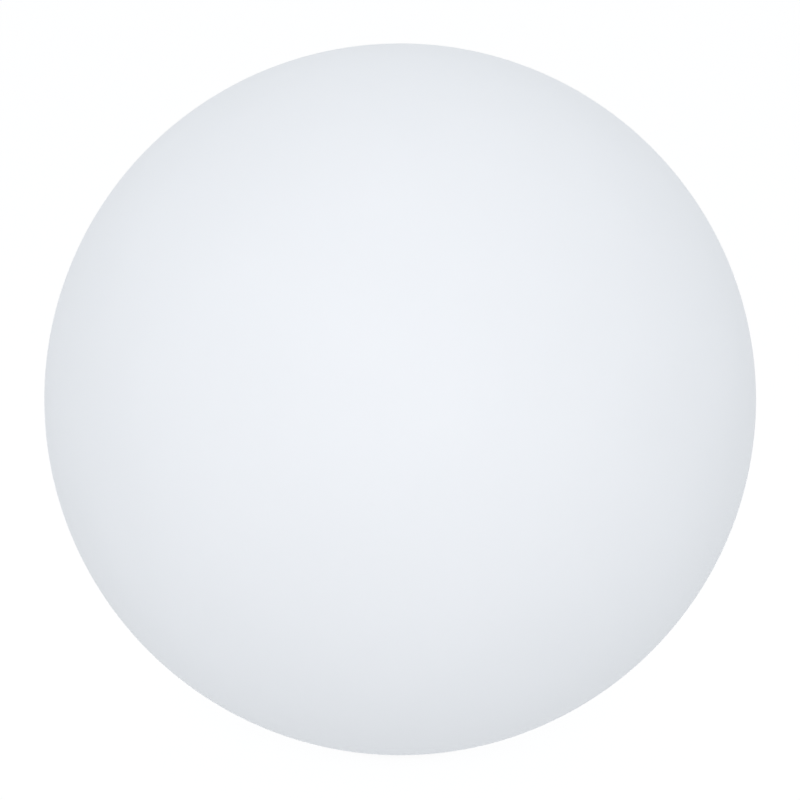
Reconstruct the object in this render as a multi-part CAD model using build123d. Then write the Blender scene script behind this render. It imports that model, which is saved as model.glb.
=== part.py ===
"""Garden globe light, free standing and rechargeable.

A rotomoulded globe screws down over a round light module. The module stands on the ground.
From the ground up it has a foot ring, a recessed underside with a folding bail, a power
button and a covered charging port, then the control board, one round battery cell, a heat
spreader, the light-emitting board and a domed lens. A quarter turn frees the globe's neck
from the module's four thread lugs, and the globe then lifts off over the lens.

Millimetres, +Z up. The origin is the centre of the ground face of the foot ring, which is
also the bottom centre of the whole light.
"""

from build123d import *
import os
from math import cos, hypot, radians, sin, sqrt

# ---------------------------------------------------------------------- driving sizes

# Globe
GLOBE_DIAMETER = 300.0
GLOBE_WALL = 3.0
LIP_GROUND_GAP = 2.5  # the lip's underside above the ground
LIP_WIDTH = 4.0  # from the mouth out to the globe's skin
LIP_FILLET = 1.3
MOUTH_FILLET = 0.8  # the lip's edge towards the mouth
COLLAR_HEIGHT = 16.5  # the collar above the ledge
COLLAR_TOP_FILLET = 1.0
MOULDED_FILLET = 1.4  # inside corners of the rotomoulded wall
INNER_LIP_FILLET = 0.7

# Thread between the globe's neck ring and the light module
THREAD_LEAD = 24.0
THREAD_STARTS = 4
LUG_HEIGHT = 2.0
LUG_ROOT_WIDTH = 2.6
LUG_CREST_WIDTH = 1.8
LUG_BURY = 0.6  # how deep a lug's root runs into its wall
MODULE_LUG_SPAN = 50.0  # degrees
NECK_LUG_SPAN = 32.0  # degrees
LUG_FLANK_GAP = 0.3
LUG_CREST_GAP = 0.5

# Neck ring, slip washer and seals
NECK_WALL = 2.5
NECK_HEIGHT = 15.0  # above its flange
NECK_FLANGE_THICKNESS = 2.0
NECK_FIT_GAP = 0.1
NECK_FLANGE_GAP = 0.25
NECK_CHAMFER = 0.5
LEDGE_WIDTH = 3.3
NECK_GASKET_THICKNESS = 0.8
NECK_SCREW_COUNT = 4
NECK_SCREW_DROP = 3.4  # screw axis below the neck ring's top
NECK_SCREW_SINK = 0.2  # the heads below the ring's bore
SLIP_WASHER_THICKNESS = 1.0
SLIP_WASHER_CHAMFER = 0.2
STACK_GAP = 0.1  # running gap between parts that turn on each other
RIM_SEAL_WIDTH = 2.4
RIM_SEAL_HEIGHT = 1.8
RIM_SEAL_PROUD = 0.6
RIM_SEAL_FILLET = 0.5
RIM_SEAL_OUTSET = 0.84  # the seal's middle outside the middle of the rim's top
SEAL_GROOVE_GAP = 0.1

# Foot ring
FOOT_THICKNESS = 2.0
FOOT_WIDTH = 6.0
FOOT_EDGE = 1.4  # from the rim's edge in to the foot ring
FOOT_TONGUE_WIDTH = 2.4
FOOT_TONGUE_HEIGHT = 1.5
FOOT_CHAMFER = 0.5
FOOT_NOTCH_COUNT = 6
FOOT_NOTCH_WIDTH = 8.0
FOOT_NOTCH_DEPTH = 1.1

# Module housing
RIM_THICKNESS = 4.5
RIM_MOUTH_GAP = 0.5
RIM_EDGE_FILLET = 1.2  # outside, next to the foot ring
RIM_TOP_FILLET = 0.5
RIM_ROOT_FILLET = 0.6  # where the housing's wall rises from the rim
HOUSING_WALL = 2.2
FLOOR_THICKNESS = 2.4
FLOOR_FILLET = 0.8
RECESS_DEPTH = 7.0
RECESS_INSET = 0.9  # the recess's wall inside the housing's bore
RECESS_FILLET = 0.8
RECESS_EDGE_FILLET = 1.0
STANDOFF_HEIGHT = 6.0
STANDOFF_RADIUS = 3.1
POST_RADIUS = 3.3
POST_INSET = 2.8  # post centres inside the housing's bore
POST_COUNT = 4
BOSS_RADIUS = 2.9
BOSS_HEIGHT = 4.0
PILOT_BOTTOM = 1.0  # solid plastic left beyond a screw's tip

# Screws: shank diameter, head diameter, head height
SMALL_SCREW = (2.5, 4.6, 1.7)
DOME_SCREW = (3.0, 5.6, 2.1)
NECK_SCREW = (2.9, 5.4, 1.5)
BOARD_SCREW_LENGTH = 7.5
DOME_SCREW_LENGTH = 12.0
NECK_SCREW_LENGTH = 7.2
LED_SCREW_LENGTH = 3.0
BRACKET_SCREW_LENGTH = 8.0
SCREW_FIT = 0.05  # round a screw in its pilot hole
SCREW_CLEARANCE = 0.3  # round a screw in a through hole
HEAD_ROUNDING = 0.45  # of a pan head's height
TIP_CHAMFER = 0.22  # of the shank's diameter
CROSS_WIDTH = 0.55  # of the head's diameter
CROSS_ARM = 0.24  # of the cross's width
CROSS_DEPTH = 0.55  # of the head's height

# Battery cell and its cradle
CELL_DIAMETER = 18.4
CELL_LENGTH = 65.0
CELL_FILLET = 0.6
SLEEVE_THICKNESS = 0.25
SLEEVE_FOLD = 2.6  # the sleeve's end lip, inwards
PROTECTION_THICKNESS = 1.4
PROTECTION_RADIUS = 8.2
PACK_CLEARANCE = 1.1
CRADLE_BASE = 1.5
CRADLE_INSET = 9.5  # the cradle's ends inside the cell's ends
CRADLE_WIDTH = 20.0
CRADLE_EAR_WIDTH = 7.0
CRADLE_EAR_FILLET = 2.0
CELL_LIFT = 1.0
SADDLE_THICKNESS = 4.0
SADDLE_INSET = 14.5  # the saddles' middles inside the cell's ends
SADDLE_DROP = 2.0  # the saddles' tops below the cell's axis
SADDLE_GAP = 0.15
STRAP_WIDTH = 4.6
STRAP_THICKNESS = 1.0
STRAP_GAP = 0.1

# Control board and what it carries
BOARD_THICKNESS = 1.6
BOARD_EDGE_GAP = 2.4
BOARD_POST_GAP = 0.6
BOARD_SCREW_X = 14.0
BOARD_SCREW_Y = 20.0
CONNECTOR_SIZE = (7.4, 5.8, 6.0)
CONNECTOR_CHAMFER = 0.5
BATTERY_CONNECTOR_INSET = 8.5  # its middle inside the cell's end
BATTERY_CONNECTOR_Y = -14.5
LED_CONNECTOR_AT = (0.0, 25.0)
INDUCTOR_SIZE = (7.0, 7.0, 4.0)
INDUCTOR_CHAMFER = 0.6
INDUCTOR_AT = (-23.5, -14.5)
CAPACITOR_RADIUS = 3.15
CAPACITOR_HEIGHT = 7.7
CAPACITOR_FILLET = 0.5
CAPACITORS_AT = ((-3.6, -24.0), (3.6, -24.0))
CHIP_SIZE = (4.9, 3.9, 1.5)
CHIP_CHAMFER = 0.3
CHIPS_AT = ((-24.0, 14.5), (24.0, 14.5))
LEAD_DIAMETER = 1.4
LEAD_SPACING = 2.5
LEAD_TOUCH_GAP = 0.05  # between a lead and what it lies on
BATTERY_LEAD_BEND = 0.7  # of the shorter of a battery lead's two runs
LED_LEAD_BEND = 5.0
LED_LEAD_RISE_BEND = 0.45  # of the rise through the heat spreader

# Power button
BUTTON_AT = (-10.0, -9.0)
BUTTON_RADIUS = 6.0
BUTTON_BORE_GAP = 0.25
BUTTON_PROUD = 1.2
BUTTON_FILLET = 0.8
BUTTON_FLANGE_WIDTH = 1.4
BUTTON_FLANGE_THICKNESS = 1.0
BUTTON_TRAVEL = 1.0
BUTTON_RING_SECTION = 1.1  # diameter of the sealing ring's cord
BUTTON_GROOVE_GAP = 0.05  # above and below the sealing ring
SWITCH_WIDTH = 6.2
SWITCH_HEIGHT = 3.6
SWITCH_CHAMFER = 0.4
PLUNGER_RADIUS = 1.7
PLUNGER_LENGTH = 2.4
PLUNGER_BORE_GAP = 0.2
SYMBOL_RADIUS = 2.6
SYMBOL_LINE = 0.6
SYMBOL_DEPTH = 0.3
SYMBOL_GAP = 1.8  # the opening in the symbol's circle
SYMBOL_BAR = (0.4, 3.0)  # where its bar starts and ends, from the middle

# Charging port: a reversible socket of the common 8.94 x 3.26 mm size
PORT_AT = (10.0, -9.0)
SOCKET_WIDTH = 8.94
SOCKET_HEIGHT = 3.26
SOCKET_WALL = 0.35
SOCKET_RECESS = 0.2  # the socket's mouth above the recess's ceiling plane
SOCKET_GAP = 0.25
SOCKET_BACK = 1.0  # the shell's closed end
TONGUE_WIDTH = 6.7
TONGUE_THICKNESS = 0.7
TONGUE_INSET = 1.0
PORT_FRAME_SIZE = (15.0, 10.0)
PORT_FRAME_THICKNESS = 1.4
PORT_FRAME_OPENING = (10.4, 4.8)
PORT_FRAME_FILLET = 1.0
COVER_THICKNESS = 1.6
COVER_EDGE = 0.3  # the cover's edge inside the frame's edge
COVER_BACK = 1.0  # and as much more on the hinge's side
COVER_FILLET = 1.0
COVER_EDGE_FILLET = 0.4
COVER_GAP = 0.1
COVER_PLUG_HEIGHT = 1.0
COVER_PLUG_GAP = 0.4
HINGE_GAP = 0.3  # between the cover's knuckle and the frame's edge
HINGE_PIN_RADIUS = 0.8
HINGE_PIN_LENGTH = 13.0
KNUCKLE_RADIUS = 1.6
KNUCKLE_LENGTH = 7.0
KNUCKLE_GAP = 0.3  # at each end of the cover's knuckle
PIN_RUNNING_GAP = 0.06
PIN_PRESS_GAP = 0.02
EAR_THICKNESS = 2.6
LIGHT_PIPE_AT = (0.0, -19.0)
LIGHT_PIPE_RADIUS = 1.5
LIGHT_PIPE_FLANGE = 2.3
LIGHT_PIPE_FLANGE_THICKNESS = 1.0
LIGHT_PIPE_FILLET = 0.5
LIGHT_PIPE_SINK = 0.2  # its end below the recess's ceiling
LIGHT_PIPE_GAP = 0.1
INDICATOR_SIZE = (2.0, 1.25, 0.8)

# Bail and its brackets
BAIL_WIRE = 3.2
BAIL_BEND = 2.5  # centreline radius where the wire turns into its pivots
BAIL_DEPTH = 2.8  # bail axis below the recess's ceiling
BAIL_LEG = 1.0
BAIL_SIDE_GAP = 0.5
BAIL_PIN_SHORT = 0.5  # the pivot's end stops inside its bracket
BRACKET_THICKNESS = 5.0
BRACKET_WIDTH = 16.0
BRACKET_DEPTH = 5.0
BRACKET_FILLET = 1.2
BRACKET_CHAMFER = 0.4
BRACKET_EDGE_GAP = 2.8  # from the recess's wall
BRACKET_SCREW_Y = 5.5

# Heat spreader, light-emitting board and lens
WIRE_ROOM = 2.8  # between the battery and the heat spreader
SPREADER_THICKNESS = 1.6
SPREADER_GAP = 0.3
LEAD_HOLE_RADIUS = 3.2
LEAD_HOLE_Y = 0.6  # where the lamp board's leads come up through the hole
LEAD_TAIL = 6.6  # how far they then lie on the board
LED_BOARD_RADIUS = 22.0
LED_BOARD_THICKNESS = 1.6
LED_COUNT = 12
LED_RING_RADIUS = 17.2
LED_SIZE = (5.0, 5.0, 1.6)
LED_WELL = 0.38  # the well's radius, of the case's width
LED_WELL_FLOOR = 0.4  # of the case's height
LED_FILL_TOP = 0.9  # of the case's height
LED_FILL_GAP = 0.02
LED_SCREW_COUNT = 3
LED_SCREW_RING = 9.5
LED_SCREW_TURN = 30.0  # degrees from +X to the first screw
LENS_SEAL_THICKNESS = 1.0
LENS_SEAL_OVERLAP = 1.5  # the seal's inner edge outside the dome's bore
LENS_FLANGE_THICKNESS = 2.2
LENS_WALL = 2.0
LENS_SCREW_MARGIN = 2.9  # from the screw heads in to the dome
LENS_RISE = 15.0
LENS_FILLET = 1.2

# Working allowances
OVERCUT = 1.0  # how far a cutting shape runs past what it cuts
MERGE = 0.5  # how far joined shapes run into each other
HAIR = 0.005  # how far two cutting shapes overlap

# ---------------------------------------------------------------------- derived sizes

# Radii, from the battery outwards
pack_radius = CELL_DIAMETER / 2 + SLEEVE_THICKNESS
pack_length = CELL_LENGTH + PROTECTION_THICKNESS + 2 * SLEEVE_THICKNESS
housing_bore = hypot(pack_length / 2, pack_radius) + PACK_CLEARANCE
housing_radius = housing_bore + HOUSING_WALL
module_lug_crest = housing_radius + LUG_HEIGHT
neck_bore = module_lug_crest + LUG_CREST_GAP
neck_radius = neck_bore + NECK_WALL
collar_bore = neck_radius + NECK_FIT_GAP
mouth_radius = collar_bore + LEDGE_WIDTH
neck_flange_radius = mouth_radius - NECK_FLANGE_GAP
rim_radius = mouth_radius - RIM_MOUTH_GAP
lip_radius = mouth_radius + LIP_WIDTH
recess_radius = housing_bore - RECESS_INSET
post_ring = housing_bore - POST_INSET
board_radius = housing_bore - BOARD_EDGE_GAP
spreader_radius = housing_bore - SPREADER_GAP
lens_radius = post_ring - DOME_SCREW[1] / 2 - LENS_SCREW_MARGIN
foot_outer = rim_radius - FOOT_EDGE
foot_inner = foot_outer - FOOT_WIDTH
seal_middle = (housing_radius + rim_radius) / 2 + RIM_SEAL_OUTSET

# Heights, from the ground up
rim_underside = FOOT_THICKNESS
rim_top = rim_underside + RIM_THICKNESS
rim_seal_top = rim_top + RIM_SEAL_PROUD
washer_top = rim_seal_top + SLIP_WASHER_THICKNESS
neck_underside = washer_top + STACK_GAP
neck_flange_top = neck_underside + NECK_FLANGE_THICKNESS
ledge_height = neck_flange_top + NECK_GASKET_THICKNESS
neck_top = neck_flange_top + NECK_HEIGHT
globe_radius = GLOBE_DIAMETER / 2
globe_centre = LIP_GROUND_GAP + sqrt(globe_radius**2 - lip_radius**2)
recess_ceiling = rim_underside + RECESS_DEPTH
floor_top = recess_ceiling + FLOOR_THICKNESS
board_underside = floor_top + STANDOFF_HEIGHT
board_top = board_underside + BOARD_THICKNESS
cradle_top = board_top + CRADLE_BASE
cell_height = cradle_top + CELL_LIFT + pack_radius
spreader_underside = cell_height + pack_radius + WIRE_ROOM
housing_top = spreader_underside + SPREADER_THICKNESS
lens_seal_top = housing_top + LENS_SEAL_THICKNESS
lens_flange_top = lens_seal_top + LENS_FLANGE_THICKNESS
lens_top = lens_flange_top + LENS_RISE
led_board_top = housing_top + LED_BOARD_THICKNESS

# Thread: the neck's lugs sit under the module's, one flank gap away
lug_mesh_width = LUG_ROOT_WIDTH - (LUG_ROOT_WIDTH - LUG_CREST_WIDTH) * (
    (LUG_HEIGHT + LUG_CREST_GAP) / 2 / LUG_HEIGHT
)
lug_offset = lug_mesh_width + LUG_FLANK_GAP
neck_lug_rise = THREAD_LEAD * NECK_LUG_SPAN / 360
neck_lug_height = neck_flange_top + (neck_lug_rise + LUG_ROOT_WIDTH) / 2 + STACK_GAP
module_lug_height = neck_lug_height + lug_offset
lug_angles = [360 / THREAD_STARTS * start for start in range(THREAD_STARTS)]

# Bail, from the recess's wall inwards
bail_height = recess_ceiling - BAIL_DEPTH
bracket_outer = sqrt(
    (recess_radius - BRACKET_EDGE_GAP) ** 2 - (BRACKET_WIDTH / 2) ** 2
)
bracket_inner = bracket_outer - BRACKET_THICKNESS
bracket_underside = recess_ceiling - BRACKET_DEPTH
bail_radius = bracket_inner - BAIL_SIDE_GAP - BAIL_BEND
bracket_screws_at = [
    (side * (bracket_inner + bracket_outer) / 2, end * BRACKET_SCREW_Y)
    for side in (-1, 1)
    for end in (-1, 1)
]
board_screws_at = [
    (side * BOARD_SCREW_X, end * BOARD_SCREW_Y) for side in (-1, 1) for end in (-1, 1)
]
posts_at = [
    (
        post_ring * cos(radians(360 / POST_COUNT * (i + 0.5))),
        post_ring * sin(radians(360 / POST_COUNT * (i + 0.5))),
    )
    for i in range(POST_COUNT)
]
led_screws_at = [
    (
        LED_SCREW_RING * cos(radians(360 / LED_SCREW_COUNT * i + LED_SCREW_TURN)),
        LED_SCREW_RING * sin(radians(360 / LED_SCREW_COUNT * i + LED_SCREW_TURN)),
    )
    for i in range(LED_SCREW_COUNT)
]

# Battery's cradle and connector
cradle_length = CELL_LENGTH - 2 * CRADLE_INSET
saddle_x = CELL_LENGTH / 2 - SADDLE_INSET
battery_connector_at = (CELL_LENGTH / 2 - BATTERY_CONNECTOR_INSET, BATTERY_CONNECTOR_Y)

# Button and charging port
button_bore = BUTTON_RADIUS + BUTTON_BORE_GAP
button_underside = recess_ceiling - BUTTON_PROUD
button_flange_underside = floor_top + STACK_GAP
button_top = button_flange_underside + BUTTON_FLANGE_THICKNESS
switch_underside = board_underside - SWITCH_HEIGHT
socket_mouth = recess_ceiling + SOCKET_RECESS
frame_underside = recess_ceiling - PORT_FRAME_THICKNESS
cover_top = frame_underside - COVER_GAP
cover_underside = cover_top - COVER_THICKNESS
hinge_y = PORT_AT[1] + PORT_FRAME_SIZE[1] / 2 + KNUCKLE_RADIUS + HINGE_GAP
hinge_height = (cover_top + cover_underside) / 2

OUTPUT_FOLDER = "parts"


# ---------------------------------------------------------------------- shared shapes


def disc(radius, low, high):
    """Upright cylinder on the Z axis between two heights."""
    return Pos(0, 0, (low + high) / 2) * Cylinder(radius, high - low)


def ring(inner, outer, low, high):
    """Flat ring on the Z axis between two heights."""
    return disc(outer, low, high) - disc(inner, low - OVERCUT, high + OVERCUT)


def block(x_range, y_range, z_range):
    """Box between two values on each axis."""
    spans = [high - low for low, high in (x_range, y_range, z_range)]
    middle = [(low + high) / 2 for low, high in (x_range, y_range, z_range)]
    return Pos(*middle) * Box(*spans)


def around(centre, half):
    """The range from half below centre to half above it."""
    return (centre - half, centre + half)


def half_profile(points, corners=()):
    """Closed outline of (radius, height) points, its named corners rounded."""
    outline = make_face(Polyline(*points, close=True))
    return round_corners(outline, corners)


def round_corners(outline, corners):
    """Rounds the corners of an outline; each is (radius, height, fillet)."""
    for x, y, size in corners:
        corner = outline.vertices().sort_by_distance((x, y, 0))[0]
        outline = fillet(corner, size)
    return outline


def turned(outline):
    """Solid of revolution of a (radius, height) outline about the Z axis."""
    return revolve(Plane.XZ * outline, axis=Axis.Z)


def each_at(places, shape):
    """Copies of a shape at (x, y) places, as one group of solids."""
    return Compound(children=[Pos(x, y, 0) * shape for x, y in places])


def cut_all(body, tools):
    """A body less each of several tools."""
    for tool in tools:
        body = body - tool
    return body


def cross_recess(width, depth):
    """Cross cut for a screw head, its mouth at the origin's height, going down."""
    arm = Pos(0, 0, -depth / 2) * Box(width, width * CROSS_ARM, depth)
    return arm + Rot(0, 0, 90) * arm


def pan_screw(sizes, length):
    """Pan-head screw along -Z, its head's underside at the origin."""
    shank_diameter, head_diameter, head_height = sizes
    head = disc(head_diameter / 2, 0, head_height)
    head = fillet(head.edges().group_by(Axis.Z)[-1], head_height * HEAD_ROUNDING)
    shank = disc(shank_diameter / 2, -length, 0)
    shank = chamfer(shank.edges().group_by(Axis.Z)[0], shank_diameter * TIP_CHAMFER)
    recess = Pos(0, 0, head_height) * cross_recess(
        head_diameter * CROSS_WIDTH, head_height * CROSS_DEPTH
    )
    return head + shank - recess


def flat_screw(sizes, length):
    """Countersunk screw along -Z, its head's flat top at the origin."""
    shank_diameter, head_diameter, head_height = sizes
    head = Pos(0, 0, -head_height / 2) * Cone(
        shank_diameter / 2, head_diameter / 2, head_height
    )
    shank = disc(shank_diameter / 2, -length, -head_height)
    shank = chamfer(shank.edges().group_by(Axis.Z)[0], shank_diameter * TIP_CHAMFER)
    recess = cross_recess(head_diameter * CROSS_WIDTH, head_height * CROSS_DEPTH)
    return head + shank - recess


def flat_screw_hole(sizes, length, gap):
    """Hole that takes a countersunk screw with a gap all round it."""
    shank_diameter, head_diameter, head_height = sizes
    cone = Pos(0, 0, -head_height / 2) * Cone(
        shank_diameter / 2 + gap, head_diameter / 2 + gap, head_height
    )
    mouth = disc(head_diameter / 2 + gap, 0, head_height)
    return cone + mouth + disc(shank_diameter / 2 + gap, -length, -head_height)


def helical_lug(root, crest, span, middle_angle, middle_height):
    """One stretch of thread from its root's radius to its crest's, rising counter-clockwise."""
    rise = THREAD_LEAD * span / 360
    half_root = LUG_ROOT_WIDTH / 2
    half_crest = LUG_CREST_WIDTH / 2
    section = make_face(
        Polyline(
            (root, -half_root),
            (crest, -half_crest),
            (crest, half_crest),
            (root, half_root),
            close=True,
        )
    )
    path = Helix(THREAD_LEAD, rise, (root + crest) / 2)
    lug = sweep(Plane.XZ * section, path=path, is_frenet=True)
    return (
        Pos(0, 0, middle_height - rise / 2) * Rot(0, 0, middle_angle - span / 2) * lug
    )


def wire_along(points, radii, diameter):
    """Round wire along straight runs joined by tangent arcs."""
    path = FilletPolyline(*points, radius=radii)
    return sweep(Plane(path @ 0, z_dir=path % 0) * Circle(diameter / 2), path=path)


# ---------------------------------------------------------------------- globe


def globe_shell():
    """Globe whose wall turns in at the mouth to make the ledge and the collar."""
    wall = GLOBE_WALL
    collar_top = ledge_height + COLLAR_HEIGHT
    centre = Pos(0, globe_centre)

    def corner_block(radius, height):
        return Pos(radius / 2, height / 2) * Rectangle(radius, height)

    half = Pos(globe_radius, globe_centre) * Rectangle(
        2 * globe_radius, 2 * (globe_centre - LIP_GROUND_GAP)
    )
    above = Pos(globe_radius, globe_centre + globe_radius) * Rectangle(
        2 * globe_radius, 2 * globe_radius
    )
    hollow = centre * Circle(globe_radius - wall)
    hollow = hollow - corner_block(collar_bore + wall, collar_top)
    hollow = hollow - corner_block(mouth_radius + wall, ledge_height + wall)
    outline = (centre * Circle(globe_radius)) & (half + above)
    outline = outline - hollow
    outline = outline - corner_block(mouth_radius, ledge_height)
    outline = outline - corner_block(collar_bore, collar_top)
    outline = round_corners(
        outline,
        [
            (lip_radius, LIP_GROUND_GAP, LIP_FILLET),
            (mouth_radius, LIP_GROUND_GAP, MOUTH_FILLET),
            (mouth_radius + wall, ledge_height + wall, MOULDED_FILLET),
            (collar_bore + wall, ledge_height + wall, MOULDED_FILLET),
            (collar_bore + wall, collar_top, COLLAR_TOP_FILLET),
            (mouth_radius + wall, inner_lip_height(wall), INNER_LIP_FILLET),
        ],
    )
    shell = turned(outline)
    return cut_all(shell, neck_screw_holes(SCREW_FIT))


def inner_lip_height(wall):
    """Height at which the globe's inner skin meets the mouth's inner wall."""
    return globe_centre - sqrt((globe_radius - wall) ** 2 - (mouth_radius + wall) ** 2)


def neck_screw_holes(gap):
    """Radial holes for the neck screws, heads towards the axis."""
    hole = flat_screw_hole(NECK_SCREW, NECK_SCREW_LENGTH + OVERCUT, gap)
    return [place * hole for place in neck_screw_places()]


def neck_screw_places():
    """Where each neck screw's head lies, just below the neck ring's bore surface."""
    head_radius = neck_bore + NECK_SCREW_SINK
    places = []
    for i in range(NECK_SCREW_COUNT):
        angle = 360 / NECK_SCREW_COUNT * (i + 0.5)
        places.append(
            Rot(0, 0, angle)
            * Pos(head_radius, 0, neck_top - NECK_SCREW_DROP)
            * Rot(0, -90, 0)
        )
    return places


def neck_ring():
    """Threaded ring that is screwed into the globe's collar."""
    body = ring(neck_bore, neck_radius, neck_underside, neck_top)
    body = body + ring(
        neck_radius - MERGE, neck_flange_radius, neck_underside, neck_flange_top
    )
    root = neck_bore + LUG_BURY
    crest = neck_bore - LUG_HEIGHT
    for angle in lug_angles:
        body = body + helical_lug(root, crest, NECK_LUG_SPAN, angle, neck_lug_height)
    top_edges = body.edges().filter_by(GeomType.CIRCLE).group_by(Axis.Z)[-1]
    body = chamfer(top_edges, NECK_CHAMFER)
    return cut_all(body, neck_screw_holes(SCREW_FIT))


def neck_screws():
    """Countersunk screws that hold the neck ring in the collar."""
    screw = flat_screw(NECK_SCREW, NECK_SCREW_LENGTH)
    return Compound(children=[place * screw for place in neck_screw_places()])


def neck_gasket():
    """Flat gasket between the globe's ledge and the neck ring's flange."""
    return ring(
        neck_radius + NECK_FIT_GAP, neck_flange_radius, neck_flange_top, ledge_height
    )


def slip_washer():
    """Washer that lets the neck turn without dragging on the rim's seal."""
    washer = ring(neck_bore, neck_flange_radius, rim_seal_top, washer_top)
    return chamfer(washer.edges(), SLIP_WASHER_CHAMFER)


# ---------------------------------------------------------------------- module housing


def base_housing():
    """Cup with a recessed underside, a wide rim, four thread lugs and its posts."""
    cup = turned(
        half_profile(
            [
                (0, recess_ceiling),
                (recess_radius, recess_ceiling),
                (recess_radius, rim_underside),
                (rim_radius, rim_underside),
                (rim_radius, rim_top),
                (housing_radius, rim_top),
                (housing_radius, housing_top),
                (housing_bore, housing_top),
                (housing_bore, floor_top),
                (0, floor_top),
            ],
            [
                (recess_radius, recess_ceiling, RECESS_FILLET),
                (recess_radius, rim_underside, RECESS_EDGE_FILLET),
                (rim_radius, rim_underside, RIM_EDGE_FILLET),
                (rim_radius, rim_top, RIM_TOP_FILLET),
                (housing_radius, rim_top, RIM_ROOT_FILLET),
                (housing_bore, floor_top, FLOOR_FILLET),
            ],
        )
    )
    for angle in lug_angles:
        cup = cup + helical_lug(
            housing_radius - LUG_BURY,
            module_lug_crest,
            MODULE_LUG_SPAN,
            angle,
            module_lug_height,
        )
    for x, y in board_screws_at:
        cup = cup + Pos(x, y, 0) * disc(
            STANDOFF_RADIUS, floor_top - MERGE, board_underside
        )
    for x, y in posts_at:
        cup = cup + Pos(x, y, 0) * disc(
            POST_RADIUS, floor_top - MERGE, spreader_underside
        )
    for x, y in bracket_screws_at:
        cup = cup + Pos(x, y, 0) * disc(
            BOSS_RADIUS, floor_top - MERGE, floor_top + BOSS_HEIGHT
        )
    return cut_all(cup, housing_cuts())


def housing_cuts():
    """Grooves, openings and pilot holes of the housing."""
    cuts = [
        ring(
            seal_middle - RIM_SEAL_WIDTH / 2 - SEAL_GROOVE_GAP,
            seal_middle + RIM_SEAL_WIDTH / 2 + SEAL_GROOVE_GAP,
            rim_seal_top - RIM_SEAL_HEIGHT,
            rim_seal_top,
        ),
        ring(
            foot_middle() - FOOT_TONGUE_WIDTH / 2 - SEAL_GROOVE_GAP,
            foot_middle() + FOOT_TONGUE_WIDTH / 2 + SEAL_GROOVE_GAP,
            0,
            rim_underside + FOOT_TONGUE_HEIGHT + SEAL_GROOVE_GAP,
        ),
        Pos(*BUTTON_AT, 0) * disc(button_bore, 0, board_underside),
        Pos(*PORT_AT, 0)
        * socket_prism(SOCKET_GAP, recess_ceiling - OVERCUT, floor_top + OVERCUT),
        Pos(*LIGHT_PIPE_AT, 0)
        * disc(LIGHT_PIPE_RADIUS + LIGHT_PIPE_GAP, 0, board_underside),
    ]
    board_pilot = pilot_hole(SMALL_SCREW, cradle_top, BOARD_SCREW_LENGTH)
    cuts += [Pos(x, y, 0) * board_pilot for x, y in board_screws_at]
    dome_pilot = pilot_hole(DOME_SCREW, lens_flange_top, DOME_SCREW_LENGTH)
    cuts += [Pos(x, y, 0) * dome_pilot for x, y in posts_at]
    bracket_pilot = disc(
        SMALL_SCREW[0] / 2 + SCREW_FIT,
        0,
        bracket_underside + BRACKET_SCREW_LENGTH + PILOT_BOTTOM / 2,
    )
    cuts += [Pos(x, y, 0) * bracket_pilot for x, y in bracket_screws_at]
    return cuts


def pilot_hole(sizes, head_height, length):
    """Blind hole for a screw that comes down from its head's height."""
    return disc(
        sizes[0] / 2 + SCREW_FIT, head_height - length - PILOT_BOTTOM, head_height
    )


def foot_middle():
    """Radius of the middle of the foot ring."""
    return (foot_inner + foot_outer) / 2


def foot_ring():
    """Soft ring that the light stands on, keyed into the rim and notched to drain."""
    body = ring(foot_inner, foot_outer, 0, FOOT_THICKNESS)
    body = chamfer(body.edges().group_by(Axis.Z)[0], FOOT_CHAMFER)
    middle = foot_middle()
    body = body + ring(
        middle - FOOT_TONGUE_WIDTH / 2,
        middle + FOOT_TONGUE_WIDTH / 2,
        FOOT_THICKNESS - MERGE,
        rim_underside + FOOT_TONGUE_HEIGHT,
    )
    notch = block(
        (foot_inner - OVERCUT, foot_outer + OVERCUT),
        around(0, FOOT_NOTCH_WIDTH / 2),
        (-OVERCUT, FOOT_NOTCH_DEPTH),
    )
    notches = [
        Rot(0, 0, 360 / FOOT_NOTCH_COUNT * i) * notch for i in range(FOOT_NOTCH_COUNT)
    ]
    return cut_all(body, notches)


def rim_seal():
    """Sealing ring in the rim's groove, which the slip washer presses."""
    seal = ring(
        seal_middle - RIM_SEAL_WIDTH / 2,
        seal_middle + RIM_SEAL_WIDTH / 2,
        rim_seal_top - RIM_SEAL_HEIGHT,
        rim_seal_top,
    )
    return fillet(seal.edges().group_by(Axis.Z)[-1], RIM_SEAL_FILLET)


# ---------------------------------------------------------------------- underside


def bail():
    """Wire bail that folds into the recess; it hangs the light and turns the module."""
    bend_x = bail_radius + BAIL_BEND
    pin_end = bracket_outer - BAIL_PIN_SHORT
    leg_top = BAIL_BEND + BAIL_LEG
    path = Wire(
        [
            Line((pin_end, 0), (bend_x, 0)),
            CenterArc((bend_x, BAIL_BEND), BAIL_BEND, 270, -90),
            Line((bail_radius, BAIL_BEND), (bail_radius, leg_top)),
            CenterArc((0, leg_top), bail_radius, 0, 180),
            Line((-bail_radius, leg_top), (-bail_radius, BAIL_BEND)),
            CenterArc((-bend_x, BAIL_BEND), BAIL_BEND, 0, -90),
            Line((-bend_x, 0), (-pin_end, 0)),
        ]
    )
    start = Plane(path @ 0, z_dir=path % 0)
    wire = sweep(start * Circle(BAIL_WIRE / 2), path=path)
    return Pos(0, 0, bail_height) * wire


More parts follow.
